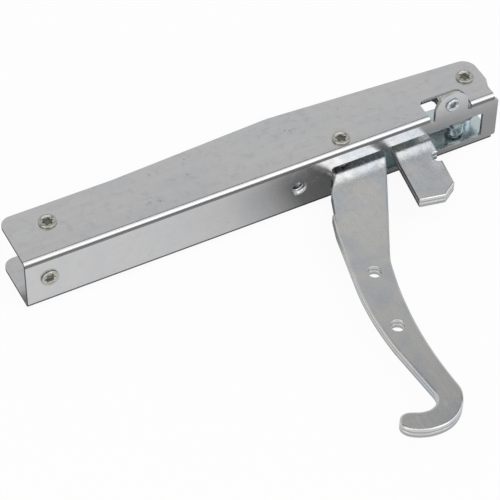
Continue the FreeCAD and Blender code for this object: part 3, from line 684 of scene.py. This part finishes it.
# A rivet as a profile turned about its axis. The recess goes down inside a lobed outline:
# its edge lies at a radius that rises and falls with the cosine of lobes times the angle.
def makeRivet(name, look, form):
    low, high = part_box(name)
    across = name in ("web_rivet", "tongue_rivet")
    head, height = look["head"], look["height"]
    span = (high.y - low.y if across else high.z - low.z) / mm
    grip = span - form["ends"] * height
    back = form["foot"] * head
    radii = np.linspace(0.03, form["top"], form["rings"]) * head
    top = np.stack([radii, np.full(form["rings"], height)], -1)
    side = eased(np.array([
        [form["top"] * head, height], [0.93 * head, 0.98 * height], [head, 0.66 * height],
        [head, 0.35 * height], [0.9 * head, 0], [look["shank"], 0]]))
    foot = eased(np.array([
        [look["shank"], 0], [look["shank"], -grip], [back, -grip], [back, -grip - 0.45 * height],
        [0.8 * back, -grip - 0.82 * height], [0.4 * back, -grip - 0.9 * height],
        [0.05 * back, -grip - 0.9 * height]]), 1)
    profile = np.concatenate([top, side[1:], foot[1:]])
    angle = np.linspace(0, 2 * np.pi, form["around"], endpoint=False) + look["turn"]
    edge = head * (form["recess"] + form["lobe"] * np.cos(look["lobes"] * angle))
    radius, level = profile[:, :1], profile[:, 1:]
    wall = form["wall"] * head
    inside = smoothRise((edge + wall - radius) / wall)
    dish = smoothRise((form["top"] * head - radius) / (form["slope"] * head))
    onTop = (np.arange(len(profile)) < form["rings"])[:, None]
    level = level - onTop * (form["recess depth"] * inside + form["dish depth"] * dish)
    # Painted shade: the deep part of the lobed recess is marked to be darkened
    shadedHollow = (onTop * inside)[:-1].reshape(-1) > form["dark"]
    level = np.broadcast_to(level, (len(profile), len(angle)))
    x, y = radius * np.cos(angle), radius * np.sin(angle)
    centre = (low + high) / 2
    if across:
        rows = np.stack([centre.x + x * mm, low.y + (height - level) * mm, centre.z + y * mm], -1)
    else:
        rows = np.stack([centre.x + x * mm, centre.y + y * mm, high.z - (height - level) * mm], -1)
    piece = skin(name + "_upset", rows)
    # painted shade in the recess
    dark = np.zeros(len(piece.data.polygons))
    dark[:len(shadedHollow)] = shadedHollow
    keepMask(piece.data, "paintedShadeMask", dark)
    finishPiece(piece, name)
    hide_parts(name)


for name, look in rivetHeads.items():
    makeRivet(name, look, rivetForm)
print("rivets:", len(rivetHeads))


# A section carried along a helix. For each angle the centre lies on a circle about the axis and has
# gone along the axis by heights; each section point adds a radial and an axial distance to that.
def coil(name, centre, axis, radius, angles, heights, radial, axial):
    along = np.array(axis, float)
    first = np.cross(along, (0, 0, 1.0)) if abs(along[2]) < 0.5 else np.array((1.0, 0, 0))
    second = np.cross(along, first)
    outward = np.cos(angles)[:, None] * first + np.sin(angles)[:, None] * second
    rows = (np.array(centre) + heights[:, None, None] * along
            + (radius + radial)[..., None] * outward[:, None, :] + axial[..., None] * along)
    return skin(name, rows)


closingSpring = {
    "wire": 0.95,       # radius
    "mean": 6.9,        # radius to the middle of the wire
    "turns": 14.5,
    "closed": 1.0,      # turns that lie together at each end
    "opens over": 0.5,  # turns in which the pitch grows
    "tight": 2.02,      # pitch of the closed turns, in wire radii
    "ground": 0.45,     # height of the first and last centre above the seats, in wire radii
    "seat": 1.5,        # how far the seat lies behind the carrier's front
    "clear": 0.02,      # gap to the seats
    "steps": 28,        # rings of points in a turn
    "around": 16,
    "keep": 0.8396,     # share of the length left when the lever stands fully open
}


# Pitch goes from one wire thickness in the closed end turns to the open pitch over half a turn,
# and the centre line's height is its running sum. The end faces are ground flat on the seats.
def makeSpring(look):
    low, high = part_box("closing_spring")
    start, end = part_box("spring_end_plate")[1].x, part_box("spring_carrier")[1].x - look["seat"] * mm
    wire, count = look["wire"] * mm, int(look["turns"] * look["steps"])
    turn = np.linspace(0, look["turns"], count)
    fromEnd = np.minimum(turn, look["turns"] - turn)
    opening = smoothRise((fromEnd - look["closed"]) / look["opens over"])
    tight, room = look["tight"] * wire, (end - start) - 2 * look["ground"] * wire
    step = turn[1]
    active = (room - tight * look["turns"]) / (opening[1:].sum() * step)
    risen = np.concatenate([[0], np.cumsum(tight + active * opening[1:]) * step])
    heights = start + look["ground"] * wire + risen
    section = np.linspace(0, 2 * np.pi, look["around"], endpoint=False)
    radial = np.broadcast_to(wire * np.cos(section), (count, look["around"]))
    axial = np.broadcast_to(wire * np.sin(section), (count, look["around"]))
    clear = look["clear"] * mm
    axial = np.clip(heights[:, None] + axial, start + clear, end - clear) - heights[:, None]
    middle = (0, (low.y + high.y) / 2, (low.z + high.z) / 2)
    piece = coil("closing_spring_wound", middle, (1, 0, 0), look["mean"] * mm, 2 * np.pi * turn,
                 heights, radial, axial)
    finishPiece(piece, "closing_spring")
    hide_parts("closing_spring")
    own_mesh(piece)


makeSpring(closingSpring)

# Millimetres, and turns: fade is how many turns the ridge takes to grow, from least of its height
webThread = {"bore": 2.45, "crest": 0.33, "pitch": 0.8, "start": 0.95, "turns": 2.2, "steps": 48,
             "fade": 0.4, "least": 0.12, "broader": 1.15}


# Thread of the fixing hole: a triangular ridge, sunk a little into the wall, that fades at both ends
def makeThread(look):
    count = int(look["turns"] * look["steps"])
    turn = np.linspace(0, look["turns"], count)
    fade = np.clip(np.minimum(turn, look["turns"] - turn) / look["fade"], look["least"], 1)[:, None]
    ridge = np.array([0.05, 0.03, -look["crest"], -look["crest"], 0.03])
    wide = np.array([0, 0.40, 0.06, -0.06, -0.40]) * look["pitch"] * look["broader"]
    radial = np.where(ridge < 0, ridge * fade, ridge) * mm
    axial = np.broadcast_to(wide * mm, (count, len(wide)))
    heights = (look["start"] + turn * look["pitch"]) * mm
    piece = coil("web_hole_thread", (0, 0, 0), (0, 1, 0), look["bore"] * mm, 2 * np.pi * turn,
                 heights, radial, axial)
    finishPiece(piece, "channel_body")


makeThread(webThread)
print("spring and thread wound")


# Across is painted shade on the ground that only the metal mirrors, from left to right: it falls off to the
# right and is darkest under the arm, a painted shadow of the arm. Shaded is a painted shadow of the channel
# on the strip right under its web, down to dim. Beyond far, clear of the channel, the level is the last one.
ground = {"size": 6.0, "height": cadBox[0].z, "shade": 0.86, "seen": 0.93, "mirrored": 0.85,
          "across": [(-0.1, 0.84), (-0.05, 0.79), (-0.025, 0.69), (-0.008, 0.42), (0.004, 0.10), (0.03, 0.08),
                     (0.06, 0.20), (0.085, 0.34), (0.1, 0.34)],
          "shaded": (-0.0022, -0.0002), "dim": 0.12, "far": (-0.017, -0.028), "level": 0.9}


# A number that follows a table of (place from 0 to 1, value)
def sweepRamp(tree, share, table):
    ramp = addNode(tree, "ShaderNodeValToRGB", {"Fac": share})
    most = max(value for _, value in table)
    stops = ramp.color_ramp.elements
    for place, (spot, value) in enumerate(table):
        stop = stops[place] if place < 2 else stops.new(spot)
        stop.position = spot
        stop.color = (value / most,) * 3 + (1,)
    return times(tree, ramp.outputs["Color"], most)


# The ground shows white to the camera and keeps part of the object's shadow; the metal mirrors it with
# painted shade
def layGround(look):
    half, z = look["size"] / 2, look["height"]
    mesh = bpy.data.meshes.new("ground")
    corners = [(-half, -half, z), (half, -half, z), (half, half, z), (-half, half, z)]
    mesh.from_pydata(corners, [], [(0, 1, 2, 3)])
    floor = bpy.data.objects.new("ground", mesh)
    scene.collection.objects.link(floor)
    material = bpy.data.materials.new("whiteGround")
    material.use_nodes = True
    tree = material.node_tree
    tree.nodes.clear()
    path = addNode(tree, "ShaderNodeLightPath").outputs
    spot = addNode(tree, "ShaderNodeSeparateXYZ",
                   {"Vector": addNode(tree, "ShaderNodeTexCoord").outputs["Object"]}).outputs
    matt = addNode(tree, "ShaderNodeBsdfDiffuse", {"Color": (look["shade"],) * 3 + (1,)})
    glow = addNode(tree, "ShaderNodeEmission", {"Color": (1, 1, 1, 1), "Strength": 1.0})
    # Painted shade across the ground, seen only in the metal, darkest as the arm's painted shadow
    (left, _), (right, _) = look["across"][0], look["across"][-1]
    share = addNode(tree, "ShaderNodeMapRange", {"Value": spot["X"], "From Min": left, "From Max": right})
    level = sweepRamp(tree, share.outputs["Result"],
                      [((x - left) / (right - left), value) for x, value in look["across"]])
    # Painted shadow of the channel on the strip under its web
    level = times(tree, level, between(tree, spot["Y"], *look["shaded"], 1.0, look["dim"]))
    beyond = between(tree, spot["Y"], *look["far"])
    level = addNode(tree, "ShaderNodeMix", {0: beyond, 2: level, 3: look["level"]},
                    data_type="FLOAT").outputs[0]
    mirror = addNode(tree, "ShaderNodeEmission", {"Color": (1, 1, 1, 1), "Strength": level})
    mirrored = addNode(tree, "ShaderNodeMath", {0: path["Is Glossy Ray"], 1: path["Is Transmission Ray"]},
                       operation="MAXIMUM")
    inMetal = addNode(tree, "ShaderNodeMixShader", {0: times(tree, mirrored.outputs[0], look["mirrored"]),
                                                    1: matt.outputs[0], 2: mirror.outputs[0]})
    shown = addNode(tree, "ShaderNodeMixShader", {0: times(tree, path["Is Camera Ray"], look["seen"]),
                                                  1: inMetal.outputs[0], 2: glow.outputs[0]})
    addNode(tree, "ShaderNodeOutputMaterial", {"Surface": shown.outputs[0]})
    mesh.materials.append(material)


layGround(ground)

# The room as one sweep from the back, over the top, to the front: at each angle above the back horizon,
# in degrees, stands how bright it is. A dark gap lies between the back wall and the overhead diffuser.
room = [(0, 0.60), (36, 0.78), (49, 0.77), (51, 0.66), (55, 0.52), (57, 0.34), (62, 0.15), (75, 0.15),
        (82, 1.2), (105, 1.3), (130, 1.1), (150, 0.85), (174, 0.45), (180, 0.25)]


def lightRoom(sweep):
    world = bpy.data.worlds.new("room")
    scene.world = world
    world.use_nodes = True
    tree = world.node_tree
    tree.nodes.clear()
    way = addNode(tree, "ShaderNodeSeparateXYZ",
                  {"Vector": addNode(tree, "ShaderNodeTexCoord").outputs["Generated"]}).outputs
    angle = addNode(tree, "ShaderNodeMath", {0: way["Z"], 1: way["Y"]}, operation="ARCTAN2").outputs[0]
    level = sweepRamp(tree, times(tree, angle, 1 / math.pi),
                      [(degrees / 180, value) for degrees, value in sweep])
    shown = addNode(tree, "ShaderNodeMix", {0: addNode(tree, "ShaderNodeLightPath").outputs["Is Camera Ray"],
                                            2: level, 3: 1.0}, data_type="FLOAT")
    light = addNode(tree, "ShaderNodeBackground", {"Color": (1, 1, 1, 1), "Strength": shown.outputs[0]})
    addNode(tree, "ShaderNodeOutputWorld", {"Surface": light.outputs[0]})


lightRoom(room)

# Soft boxes: where each hangs, how wide it is, and its power in watts
softBoxes = {
    "over the camera": {"at": (0.41, -0.77, 0.96), "wide": 0.5, "power": 1.2},
    "left": {"at": (-1.1, -0.5, 0.9), "wide": 0.6, "power": 1.2},
}
litPlace = Vector((0, -0.02, 0))


def hangSoftBox(name, look):
    data = bpy.data.lights.new(name, "AREA")
    data.size = look["wide"]
    data.energy = look["power"]
    lamp = bpy.data.objects.new(name, data)
    lamp.location = look["at"]
    lamp.rotation_mode = "QUATERNION"
    lamp.rotation_quaternion = (litPlace - lamp.location).to_track_quat("-Z", "Y")
    scene.collection.objects.link(lamp)


for name, look in softBoxes.items():
    hangSoftBox(name, look)
print("ground, room and soft boxes set")
